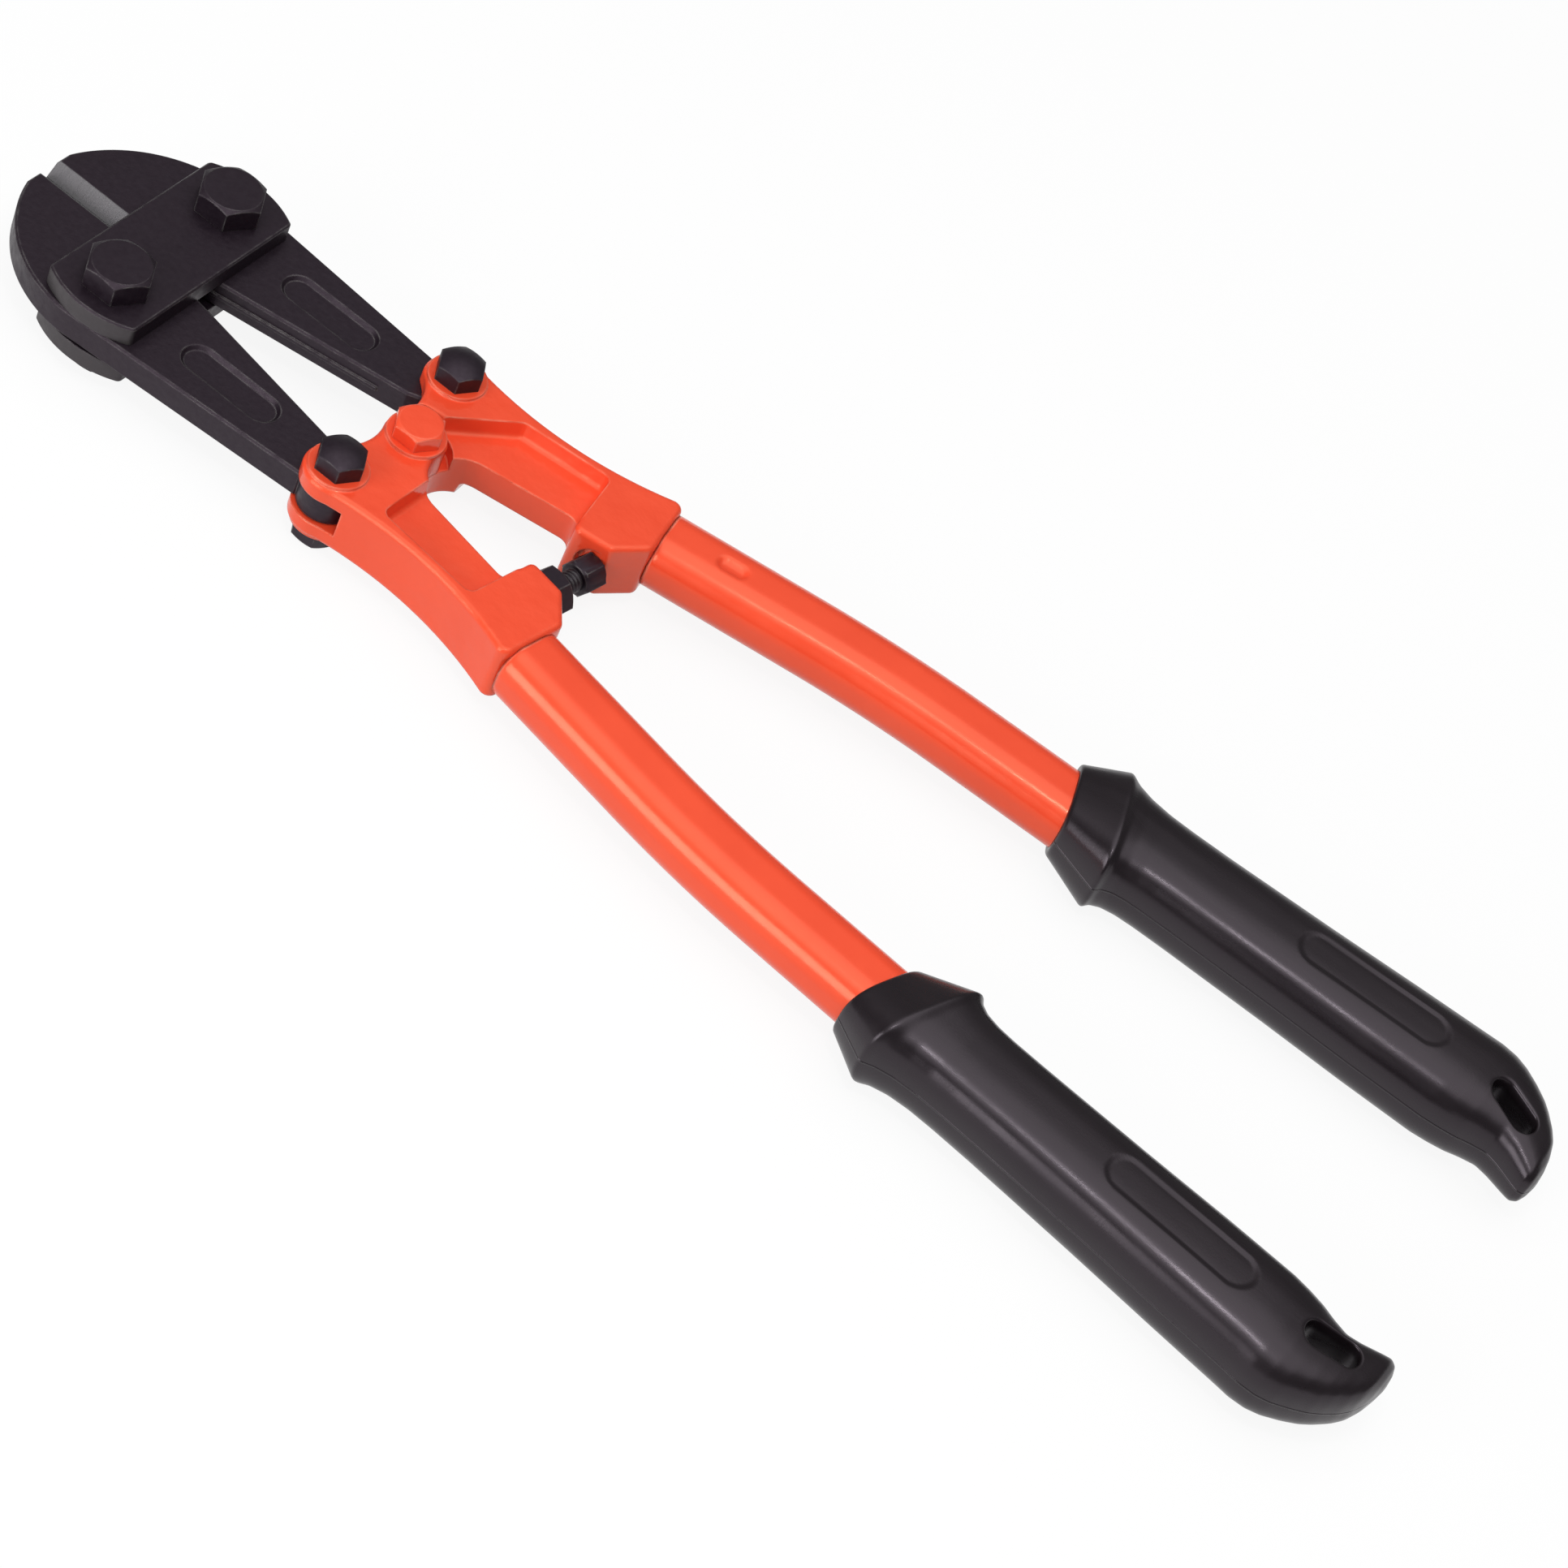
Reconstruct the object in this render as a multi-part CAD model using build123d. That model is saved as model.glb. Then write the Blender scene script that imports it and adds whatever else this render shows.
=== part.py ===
"""Compound-lever bolt cutters, 14 inch class, jaws closed, lying flat.

Millimetres, +Z up.  The work is laid out about the centre pivot, with +X towards the jaws and
Z = 0 on the middle plane of the jaws, and is moved to its resting frame when it is written.
Every left piece is drawn on the +Y side; the right one is the same piece turned over about X.
"""
import os
from math import asin, atan2, cos, degrees, radians, sin, tan

from build123d import *

# Pivots of the linkage
jaw_pivot_x = 64.0
jaw_pivot_y = 17.4
link_x = 4.5
link_y = 19.5

# Running and seated clearances
run_fit = 0.05
seat_fit = 0.03
face_gap = 0.05

# How far a cutting tool passes beyond the face it opens
cut_over = 1.0

# Jaws
jaw_thick = 6.4
nose_x = 96.0
nose_flat = 6.5
nose_mid = (87.5, 19.8)
shoulder = (68.0, 28.1)
shoulder_r = 20.0
tail_end_x = 10.0
tail_end_out_y = 23.5
tail_end_in_y = 11.4
tail_lip = (7.0, 12.9)
heel_x = 71.5
bevel_wide = 3.0
bevel_start_x = 73.0
edge_land = 0.3
eye_r = 6.2
jaw_edge_break = 0.45
flash_from_x = 16.0
flash_to_x = 58.0
flash_out = 0.45
flash_half = 0.45
recess_from_x = 22.0
recess_to_x = 46.0
recess_wide = 8.0
recess_deep = 0.9
recess_draft = 42.0
recess_y = 16.0

# Side plates
plate_thick = 4.35
plate_long = 22.2
plate_corner_y = 24.8
plate_crown_y = 28.0
plate_corner_r = 1.3
plate_edge_break = 0.4

# Turned corners of every hexagon: share of the flats left plain, and the angle of the cone
hex_plain = 0.94
hex_cone = 30.0

# Jaw bolts and nuts
jaw_bolt_d = 8.0
jaw_bolt_af = 13.0
jaw_bolt_head = 5.3
jaw_nut_high = 4.4
nut_recess = 0.3

# Link and centre bolts and nuts
link_bolt_d = 6.0
link_bolt_af = 9.2
link_bolt_head = 4.0
link_dome = 1.0
link_nut_high = 4.2
centre_bolt_d = 6.0
centre_bolt_af = 9.6
centre_bolt_head = 3.5
centre_nut_high = 4.2

# Forged forks
fork_half = 7.1
cheek_r = 7.0
cheek_top_angle = 115.0
cheek_front_angle = -28.0
lug_r = 6.7
lug_front_angle = 20.0
lap_gap = 0.1
lap_room = 1.9
lap_side = 1.5
boss_high = 0.6
boss_ring_r = 6.3
slot_back = 6.6
slot_room = 0.12
slot_in_y = 8.7
web_half = 3.4
pocket_bite = 0.15
pocket_front_x = -9.6
pocket_front_lean = 1.2
pocket_low_front = ((-12.0, 21.4), (0.0, 8.4))
pocket_draft = 9.0
pocket_root_r = 1.0
pocket_corner_r = 2.0
rim_back_y = 24.0
rim_front_y = 21.4
fork_waist = (-24.0, 25.1)
fork_saddle = (5.9, 9.4)
fork_crotch = (-7.0, 4.4)
fork_throat = (-12.0, 8.3)
fork_elbow_y = 12.6
fork_elbow_r = 3.0
fork_blend_r = 8.0
fork_edge_r = 1.1
slot_corner_r = 5.0
centre_slot_half = 1.8
centre_slot_side = 0.7

# Collar, tang and adjuster boss at the back of each fork
collar_extra = 0.15
tang_long = 28.0
tang_root = 2.0
boss_wide = 8.8
boss_end_y = 7.6
boss_x = -39.9
boss_corner_r = 1.5
collar_corner_r = 2.2

# Handle tubes
tube_wide = 15.8
tube_high = 13.3
tube_corner_r = 5.6
tube_wall = 1.6
tube_start = (-48.3, 23.4)
tube_bend = (-100.0, 32.7)
tube_bend_r = 300.0
tube_back_angle = 3.3
tube_end_x = -236.0

# Stop adjuster between the handles
adjuster_tilt = 10.0
adjuster_d = 5.0
adjuster_af = 7.0
adjuster_head = 5.8
adjuster_nut_af = 9.4
adjuster_nut_high = 5.2
adjuster_shank = 13.0
bore_room = 3.0
stop_gap = 0.1
stop_face_r = 4.6
stop_face_deep = 0.5

# Moulded grips
grip_front_x = -143.7
grip_front_wide = 18.0
grip_front_high = 15.2
grip_ridge_x = -154.2
grip_ridge_wide = 27.2
grip_ridge_high = 21.8
grip_flare_x = -158.5
grip_flare_wide = 23.8
grip_flare_high = 19.6
grip_neck_x = -164.0
grip_neck_wide = 21.9
grip_neck_high = 18.7
grip_waist_x = -174.0
grip_waist_wide = 21.5
grip_waist_high = 18.4
grip_tail_x = -236.0
grip_tail_wide = 24.0
grip_tail_high = 19.4
grip_heel = (-243.5, 0.7, 23.4, 18.6)
grip_notch = (-250.0, 0.2, 18.9, 16.6)
grip_hook = (-255.0, -2.5, 17.0, 14.6)
grip_tip = (-259.2, -6.15, 13.5, 12.0)
grip_back_x = -261.0
grip_end_aside = -8.5
grip_end_wide = 7.0
grip_end_high = 7.0
grip_round = 0.78
grip_slant = 20.0
grip_flare_slant = 16.0
grip_neck_slant = 10.0
grip_fit = 0.05
hang_slot_x = -249.0
hang_slot_y = 38.6
hang_slot_long = 12.0
hang_slot_wide = 5.8
hang_slot_turn = 16.0

# Worked-out levels and places
jaw_half = jaw_thick / 2
plate_in = jaw_half + face_gap
plate_out = plate_in + plate_thick
boss_out = fork_half + boss_high
rest_z = -(plate_out + jaw_nut_high)
frame_x = (nose_x + grip_back_x) / 2
grip_end_x = grip_back_x + grip_end_wide / 2 * sin(radians(tube_back_angle))
tube_front_angle = degrees(atan2(tube_bend[1] - tube_start[1], tube_start[0] - tube_bend[0]))
stop_reach = 2 * boss_end_y / cos(radians(adjuster_tilt)) + stop_face_deep
flip = Rot(180, 0, 0)


def handle_point(x):
    """Point of the straight back run of the left tube at x, as (x, y)."""
    return x, tube_bend[1] + (tube_bend[0] - x) * tan(radians(tube_back_angle))


def tube_point(distance):
    """Point on the straight front run of the left tube, that far behind its front end."""
    turn = radians(tube_front_angle)
    return tube_start[0] - distance * cos(turn), tube_start[1] + distance * sin(turn)


def polar(centre, radius, angle):
    """Point in plan at that radius and angle from centre."""
    return centre[0] + radius * cos(radians(angle)), centre[1] + radius * sin(radians(angle))


def disc(radius, centre, low, high):
    """Solid cylinder about a Z axis through centre, from low to high."""
    return Pos(centre[0], centre[1], low) * extrude(Circle(radius), high - low)


def slab(sketch, low, high):
    """Sketch extruded from low to high."""
    return Pos(0, 0, low) * extrude(sketch, high - low)


def hexagon(across_flats, height, crown=0.0):
    """Hexagon prism standing on z = 0, its upper corners turned off and its top domed by crown."""
    flat_r = across_flats / 2
    plain_r = flat_r * hex_plain
    outer_r = across_flats
    side_high = height - (outer_r - plain_r) * tan(radians(hex_cone))
    body = extrude(RegularPolygon(flat_r, 6, major_radius=False), height + crown)
    with BuildSketch(Plane.XZ) as turned:
        with BuildLine():
            Polyline((0, height + crown), (0, 0), (outer_r, 0), (outer_r, side_high), (plain_r, height))
            if crown:
                ball_r = (plain_r**2 + crown**2) / (2 * crown)
                CenterArc((0, height + crown - ball_r), ball_r, 90 - degrees(asin(plain_r / ball_r)),
                          degrees(asin(plain_r / ball_r)))
            else:
                Line((plain_r, height), (0, height))
        make_face()
    return body & revolve(turned.sketch, Axis.Z)


def bolt(shank_d, across_flats, head, seat, end, crown=0.0):
    """Hexagon bolt on the Z axis, head on the seat level and shank down to the end level."""
    return Pos(0, 0, seat) * hexagon(across_flats, head, crown) + disc(shank_d / 2, (0, 0), end, seat)


def nut(shank_d, across_flats, height):
    """Hexagon nut hanging down from z = 0, bored for its bolt."""
    block = Rot(180, 0, 0) * hexagon(across_flats, height)
    return block - disc(shank_d / 2 + seat_fit, (0, 0), -height - cut_over, cut_over)


def tail_inner_y(x):
    """Height in plan of the inner side of the left jaw's tail at x."""
    return tail_end_in_y + (face_gap - tail_end_in_y) * (x - tail_end_x) / (heel_x - tail_end_x)


def make_flash():
    """Ridge of trimmed flash left by the dies along the inner side of the left jaw's tail."""
    run = (flash_from_x, flash_to_x)
    inner = [(x, tail_inner_y(x) + flash_out) for x in run]
    outer = [(x, tail_inner_y(x) - flash_out) for x in reversed(run)]
    with BuildSketch() as strip:
        with BuildLine():
            Polyline(*inner, *outer, close=True)
        make_face()
    return slab(strip.sketch, -flash_half, flash_half)


def make_jaw():
    """Left jaw: curved nose with a ground bevel on both sides, and a tapering tail with its eye."""
    with BuildSketch() as outline:
        with BuildLine():
            Line((tail_end_x, tail_end_in_y), (heel_x, face_gap))
            Line((heel_x, face_gap), (nose_x, face_gap))
            Line((nose_x, face_gap), (nose_x, nose_flat))
            ThreePointArc((nose_x, nose_flat), nose_mid, shoulder)
            Line(shoulder, (tail_end_x, tail_end_out_y))
            Line((tail_end_x, tail_end_out_y), (link_x, link_y))
            Line((link_x, link_y), tail_lip)
            Line(tail_lip, (tail_end_x, tail_end_in_y))
        make_face()
    with BuildSketch() as eye:
        with Locations((link_x, link_y)):
            Circle(eye_r)
    plan = outline.sketch + eye.sketch
    plan = fillet(plan.vertices().sort_by_distance((*shoulder, 0))[0], shoulder_r)
    jaw = slab(plan, -jaw_half, jaw_half)
    for level in (-1, 0):
        jaw = chamfer(jaw.faces().sort_by(Axis.Z)[level].edges(), jaw_edge_break)
    jaw += make_flash()
    through = jaw_half + cut_over
    jaw -= disc(jaw_bolt_d / 2 + run_fit, (jaw_pivot_x, jaw_pivot_y), -through, through)
    jaw -= disc(link_bolt_d / 2 + run_fit, (link_x, link_y), -through, through)
    with BuildSketch(Plane.YZ) as bevel:
        with BuildLine():
            Polyline((face_gap + bevel_wide, jaw_half), (face_gap, edge_land / 2), (-cut_over, edge_land / 2),
                     (-cut_over, through), (face_gap + bevel_wide, through), close=True)
        make_face()
    with BuildSketch() as recess:
        with Locations(Pos((recess_from_x + recess_to_x) / 2, recess_y)):
            SlotOverall(recess_to_x - recess_from_x, recess_wide)
    ground = Pos(bevel_start_x, 0, 0) * extrude(bevel.sketch, nose_x - bevel_start_x + cut_over)
    sunk = Pos(0, 0, jaw_half) * extrude(recess.sketch, -recess_deep, taper=recess_draft)
    for cut in (ground, sunk):
        jaw -= cut
        jaw -= mirror(cut, Plane.XY)
    return jaw


def make_plate():
    """Upper side plate: straight long edges, crowned ends, broken top edges."""
    half = plate_long / 2
    with BuildSketch() as outline:
        with BuildLine():
            Line((-half, -plate_corner_y), (-half, plate_corner_y))
            ThreePointArc((-half, plate_corner_y), (0, plate_crown_y), (half, plate_corner_y))
            Line((half, plate_corner_y), (half, -plate_corner_y))
            ThreePointArc((half, -plate_corner_y), (0, -plate_crown_y), (-half, -plate_corner_y))
        make_face()
        fillet(outline.vertices(), plate_corner_r)
    plate = Pos(jaw_pivot_x, 0, 0) * slab(outline.sketch, plate_in, plate_out)
    plate = chamfer(plate.faces().sort_by(Axis.Z)[-1].edges(), plate_edge_break)
    for side in (1, -1):
        centre = (jaw_pivot_x, side * jaw_pivot_y)
        plate -= disc(jaw_bolt_d / 2 + seat_fit, centre, plate_in - cut_over, plate_out + cut_over)
    return plate


def adjuster_place():
    """Location at the left boss face, +Z along the adjuster towards the right boss."""
    return Pos(boss_x, boss_end_y, 0) * Rot(0, 0, -adjuster_tilt) * Rot(90, 0, 0)


def boss_corner(side):
    """Corner in plan of the left boss's end, at the front for side 1 and at the back for side -1."""
    return polar((boss_x, boss_end_y), side * boss_wide / 2, -adjuster_tilt)


def boss_front_x(y):
    """Place in plan of the left boss's front face at y."""
    corner = boss_corner(1)
    return corner[0] + (y - corner[1]) * tan(radians(adjuster_tilt))


def fork_outline():
    """Plan of the upper half of the left fork: collar, adjuster boss, arm, link cheek and lug."""
    half = tube_wide / 2 + collar_extra
    turn = radians(tube_front_angle)
    back_out = (tube_start[0] + half * sin(turn), tube_start[1] + half * cos(turn))
    back_in = (tube_start[0] - half * sin(turn), tube_start[1] - half * cos(turn))
    end_front = boss_corner(1)
    end_back = boss_corner(-1)
    fork_elbow = (boss_front_x(fork_elbow_y), fork_elbow_y)
    cheek_top = polar((link_x, link_y), cheek_r, cheek_top_angle)
    cheek_front = polar((link_x, link_y), cheek_r, cheek_front_angle)
    cheek_side = polar((link_x, link_y), cheek_r, (cheek_top_angle + cheek_front_angle) / 2)
    lug_front = polar((0, 0), lug_r, lug_front_angle)
    lug_back = polar((0, 0), lug_r, lug_front_angle + 180)
    with BuildSketch() as outline:
        with BuildLine():
            ThreePointArc(back_out, fork_waist, cheek_top)
            ThreePointArc(cheek_top, cheek_side, cheek_front)
            ThreePointArc(cheek_front, fork_saddle, lug_front)
            ThreePointArc(lug_front, (0, -lug_r), lug_back)
            ThreePointArc(lug_back, fork_crotch, fork_throat)
            Line(fork_throat, fork_elbow)
            Line(fork_elbow, end_front)
            Line(end_front, end_back)
            Line(end_back, back_in)
            Line(back_in, back_out)
        make_face()
    sketch = outline.sketch
    rounds = ((fork_elbow, fork_elbow_r), (end_front, boss_corner_r), (end_back, boss_corner_r),
              (back_out, collar_corner_r), (back_in, collar_corner_r), (fork_throat, fork_blend_r),
              (lug_back, fork_elbow_r), (cheek_front, fork_elbow_r), (cheek_top, fork_blend_r))
    for corner, radius in rounds:
        sketch = fillet(sketch.vertices().sort_by_distance((*corner, 0))[0], radius)
    return sketch


def pocket(front, depth):
    """Tool for a sunk web panel below z = 0: back wall along the boss, rim, front points, open inwards."""
    back = [(boss_front_x(y) - pocket_bite, y) for y in (-boss_end_y, rim_back_y)]
    with BuildSketch() as outline:
        with BuildLine():
            Polyline(*back, *front, close=True)
        make_face()
    sketch = outline.sketch
    sketch = fillet(sketch.vertices().sort_by(Axis.Y)[-2:], pocket_corner_r)
    tool = extrude(sketch, -depth, taper=pocket_draft)
    return fillet(tool.faces().sort_by(Axis.Z)[0].edges(), pocket_root_r)


def make_fork():
    """Left fork: one forging with a slotted link cheek, an upper lap lug, a web panel and a tang."""
    plan = fork_outline()
    depth = fork_half - web_half
    lap_half = Rectangle(tang_long + fork_half, tang_long, align=(Align.CENTER, Align.MAX))
    lap = Circle(lug_r + lap_room) + Pos(0, lap_side) * lap_half
    upper = slab(plan, lap_gap, fork_half)
    lower = slab(plan - lap, -fork_half, lap_gap)
    upper = fillet(upper.faces().sort_by(Axis.Z)[-1].edges(), fork_edge_r)
    lower = fillet(lower.faces().sort_by(Axis.Z)[0].edges(), fork_edge_r)
    fork = upper + lower
    top_front = [(pocket_front_x + pocket_front_lean, rim_front_y), (pocket_front_x, -boss_end_y)]
    low_front = [*pocket_low_front, (pocket_low_front[1][0], -boss_end_y)]
    fork -= Pos(0, 0, fork_half) * pocket(top_front, depth)
    fork -= Pos(0, 0, -fork_half) * mirror(pocket(low_front, depth), Plane.XY)
    slot_half = jaw_half + slot_room
    with BuildSketch() as slot:
        with Locations((link_x - slot_back, link_y - slot_in_y)):
            Rectangle(tang_long, tang_long, align=(Align.MIN, Align.MIN))
        fillet(slot.vertices().sort_by(Axis.X)[:2].sort_by(Axis.Y)[0], slot_corner_r)
    fork -= slab(slot.sketch, -slot_half, slot_half)
    for level in (fork_half, -boss_out):
        fork += disc(boss_ring_r, (link_x, link_y), level, level + boss_high)
    fork += disc(boss_ring_r, (0, 0), fork_half, boss_out)
    fork -= disc(link_bolt_d / 2 + seat_fit, (link_x, link_y), -boss_out - cut_over, boss_out + cut_over)
    fork -= disc(centre_bolt_d / 2 + seat_fit, (0, 0), 0, boss_out + cut_over)
    return fork + make_tang()


def tube_section(inset):
    """Rounded oblong section of the handle tube, drawn that far inside its outer face."""
    radius = tube_corner_r - inset
    return RectangleRounded(tube_wide - 2 * inset, tube_high - 2 * inset, radius)


def make_tang():
    """Tang behind the collar, a close fit inside the tube."""
    plug = extrude(tube_section(tube_wall + seat_fit), tang_long + tang_root)
    place = Pos(*tube_point(-tang_root), 0) * Rot(0, 0, -tube_front_angle) * Rot(0, -90, 0) * Rot(0, 0, 90)
    return place * plug


def tube_path():
    """Centre line of the left tube: two straight runs and one wide bend."""
    end = handle_point(tube_end_x)
    return FilletPolyline(tube_start, tube_bend, end, radius=tube_bend_r)


def swept_tube(inset):
    """Solid bar along the tube's centre line, drawn that far inside its outer face."""
    path = tube_path()
    place = Plane(origin=path @ 0, x_dir=(0, 0, 1), z_dir=path % 0)
    section = place * Rot(0, 0, 90) * tube_section(inset)
    return sweep(section, path=path)


def make_tube():
    """Left handle tube, open at both ends."""
    return swept_tube(0) - swept_tube(tube_wall)


def grip_section(x, aside, wide, high, slant):
    """Rounded oblong across the left grip at x, moved outwards by aside, its plane slanted in plan."""
    turn = radians(slant)
    corner = grip_round / 2 * min(wide, high)
    face = RectangleRounded(wide / cos(turn), high, corner)
    middle_x, middle_y = handle_point(x)
    stand = Rot(0, 0, -tube_back_angle - slant) * Rot(0, -90, 0) * Rot(0, 0, 90)
    return Pos(middle_x, middle_y + aside, 0) * stand * face


def make_grip():
    """Left grip: slanted flared collar, waist, swelling body and a hooked end with its hanging slot."""
    rows = [
        (grip_front_x, 0, grip_front_wide, grip_front_high, grip_slant),
        (grip_ridge_x, 0, grip_ridge_wide, grip_ridge_high, grip_slant),
        (grip_flare_x, 0, grip_flare_wide, grip_flare_high, grip_flare_slant),
        (grip_neck_x, 0, grip_neck_wide, grip_neck_high, grip_neck_slant),
        (grip_waist_x, 0, grip_waist_wide, grip_waist_high, 0),
        (grip_tail_x, 0, grip_tail_wide, grip_tail_high, 0),
        (*grip_heel, 0),
        (*grip_notch, 0),
        (*grip_hook, 0),
        (*grip_tip, 0),
        (grip_end_x, grip_end_aside, grip_end_wide, grip_end_high, 0),
    ]
    grip = loft([grip_section(*row) for row in rows], ruled=True)
    with BuildSketch() as hang:
        with Locations((hang_slot_x, hang_slot_y)):
            SlotOverall(hang_slot_long, hang_slot_wide, rotation=hang_slot_turn)
    grip -= slab(hang.sketch, -grip_tail_high, grip_tail_high)
    return grip - swept_tube(-grip_fit)


def make_right_fork(fork):
    """Turned-over fork for the right side, with the free pivot's slot and a spot face for the stop."""
    long = centre_bolt_d + 2 * (centre_slot_half + seat_fit)
    room = SlotOverall(long, centre_bolt_d + 2 * centre_slot_side, rotation=90)
    face = adjuster_place() * disc(stop_face_r, (0, 0), stop_reach - adjuster_head, stop_reach)
    return flip * fork - slab(room, -boss_out - cut_over, 0) - face


def make_adjuster():
    """Stop bolt along its own +Z, from inside the left boss to the head against the right boss."""
    reach = stop_reach - stop_gap
    head = Pos(0, 0, reach - adjuster_head) * hexagon(adjuster_af, adjuster_head)
    shank = disc(adjuster_d / 2, (0, 0), -adjuster_shank, reach - adjuster_head)
    return adjuster_place() * (head + shank)


def make_lock_nut():
    """Thin nut that locks the stop bolt against the left boss."""
    ring = hexagon(adjuster_nut_af, adjuster_nut_high)
    hole = disc(adjuster_d / 2 + run_fit, (0, 0), -cut_over, adjuster_nut_high + cut_over)
    return adjuster_place() * (ring - hole)


def build_parts():
    """All pieces by node name, in the layout frame."""
    jaw = make_jaw()
    plate = make_plate()
    fork = make_fork()
    bore = adjuster_place() * disc(adjuster_d / 2 + run_fit, (0, 0), -adjuster_shank - bore_room, cut_over)
    tube = make_tube()
    grip = make_grip()
    parts = {
        "upper_side_plate": plate,
        "lower_side_plate": flip * plate,
        "left_jaw": jaw,
        "right_jaw": flip * jaw,
        "left_fork": fork - bore,
        "right_fork": make_right_fork(fork),
        "left_tube": tube,
        "right_tube": flip * tube,
        "left_grip": grip,
        "right_grip": flip * grip,
        "adjuster_bolt": make_adjuster(),
        "adjuster_lock_nut": make_lock_nut(),
        "centre_bolt": bolt(centre_bolt_d, centre_bolt_af, centre_bolt_head, boss_out,
                            -boss_out - centre_nut_high + nut_recess),
        "centre_nut": Pos(0, 0, -boss_out) * nut(centre_bolt_d, centre_bolt_af, centre_nut_high),
    }
    for name, side in (("left", 1), ("right", -1)):
        at_jaw = Pos(jaw_pivot_x, side * jaw_pivot_y, 0)
        at_link = Pos(link_x, side * link_y, 0)
        jaw_end = -plate_out - jaw_nut_high + nut_recess
        link_end = -boss_out - link_nut_high + nut_recess
        parts[name + "_jaw_bolt"] = at_jaw * bolt(jaw_bolt_d, jaw_bolt_af, jaw_bolt_head, plate_out, jaw_end)
        parts[name + "_jaw_nut"] = at_jaw * Pos(0, 0, -plate_out) * nut(jaw_bolt_d, jaw_bolt_af, jaw_nut_high)
        parts[name + "_link_bolt"] = at_link * bolt(link_bolt_d, link_bolt_af, link_bolt_head, boss_out,
                                                    link_end, link_dome)
        parts[name + "_link_nut"] = at_link * Pos(0, 0, -boss_out) * nut(link_bolt_d, link_bolt_af,
                                                                         link_nut_high)
    return parts


os.makedirs("parts", exist_ok=True)
for node, solid in build_parts().items():
    export_step(Pos(-frame_x, 0, -rest_z) * solid, f"parts/{node}.step")
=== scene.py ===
# %% [markdown]
# # Bolt cutters, dressed for a studio picture
#
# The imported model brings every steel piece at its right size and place: side plates, jaws, forks, bolts and
# nuts. Those nodes stay and only get finishes. The pieces whose charm is a soft surface, the drawn tubes,
# the moulded grips and the threaded stop, are worked out again here as numpy surfaces that stand for their
# plain nodes.

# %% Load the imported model
from math import cos, pi, radians, sin, tan

import bmesh
import bpy
import numpy as np
from mathutils import Matrix, Vector


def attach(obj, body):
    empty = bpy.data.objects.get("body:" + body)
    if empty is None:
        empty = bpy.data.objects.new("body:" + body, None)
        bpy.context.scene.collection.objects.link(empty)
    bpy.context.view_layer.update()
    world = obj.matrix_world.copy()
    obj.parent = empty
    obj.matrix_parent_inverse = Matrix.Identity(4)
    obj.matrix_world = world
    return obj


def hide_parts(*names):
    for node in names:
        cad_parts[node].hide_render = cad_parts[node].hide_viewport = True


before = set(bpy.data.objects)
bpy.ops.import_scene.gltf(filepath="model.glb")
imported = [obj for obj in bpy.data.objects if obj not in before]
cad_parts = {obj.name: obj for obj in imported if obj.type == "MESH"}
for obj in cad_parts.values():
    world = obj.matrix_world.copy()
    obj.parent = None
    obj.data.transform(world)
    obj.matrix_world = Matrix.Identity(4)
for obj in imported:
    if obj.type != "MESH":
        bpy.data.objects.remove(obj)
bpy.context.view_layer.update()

# %% [markdown]
# ## The layout frame
#
# A maker lays this tool out about its centre pivot, with the jaws towards +X and Z = 0 on the middle of the
# jaws, in millimetres. All the surfaces below are worked out that way, and one helper moves them to the
# model's frame. Everything on the right side is its left twin turned over about the X axis, which is how
# the real tool is made.

# %% From layout millimetres to model metres
MM = 0.001
PIVOT = np.array([82.5, 0.0, 12.0])
TURN_OVER = np.array([1.0, -1.0, -1.0])


def to_model(points, side):
    """Layout point, turned over about X for the right side, plus the pivot's place, in metres."""
    turned = points if side == "left" else points * TURN_OVER
    return (turned + PIVOT) * MM


print("centre pivot in model mm:", PIVOT)

# %% [markdown]
# ## Camera
#
# The picture was taken from the left handle's side, about 46 degrees above the bench, with a long lens and
# the camera rolled so that the tool runs corner to corner. The roll is a turn of the camera's own right and
# up directions about the line of sight, so the rotation matrix is written from those three directions.

# %% Camera at the picture's angle
scene = bpy.context.scene
sight_turn, sight_rise, sight_roll = radians(104.015), radians(46.453), radians(27.846)
sight_reach = 0.8275
aim = Vector((-0.01775, 0.00313, 0.00879))
lens_mm, sensor_mm = 97.41, 36.0

back = Vector((cos(sight_rise) * cos(sight_turn), cos(sight_rise) * sin(sight_turn), sin(sight_rise)))
level = Vector((0, 0, 1)).cross(back).normalized()
upright = back.cross(level)
right = cos(sight_roll) * level + sin(sight_roll) * upright
up = cos(sight_roll) * upright - sin(sight_roll) * level
turned = Matrix((right, up, back)).transposed().to_4x4()

camera = bpy.data.objects.new("camera", bpy.data.cameras.new("camera"))
camera.data.sensor_width, camera.data.lens = sensor_mm, lens_mm
camera.matrix_world = Matrix.Translation(aim + sight_reach * back) @ turned
scene.collection.objects.link(camera)
bpy.context.scene.camera = camera
print("camera at mm", [round(1000 * c) for c in camera.location])

# %% [markdown]
# ## Nodes with less typing
#
# The world, the floor and every finish are small graphs of nodes. By hand, a node takes several lines: make
# it, set its options, then set or link each input. One helper does all of that, and two more cover the
# steps used most often, which are stretching a value from one range to another and multiplying two values.

# %% Helpers for node graphs
def add(tree, kind, inputs=None, **settings):
    """New node of that kind with its settings, and with its inputs set or linked."""
    made = tree.nodes.new("ShaderNode" + kind)
    for key, value in settings.items():
        setattr(made, key, value)
    for key, value in (inputs or {}).items():
        if isinstance(value, bpy.types.NodeSocket):
            tree.links.new(value, made.inputs[key])
        else:
            made.inputs[key].default_value = value
    return made


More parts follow.
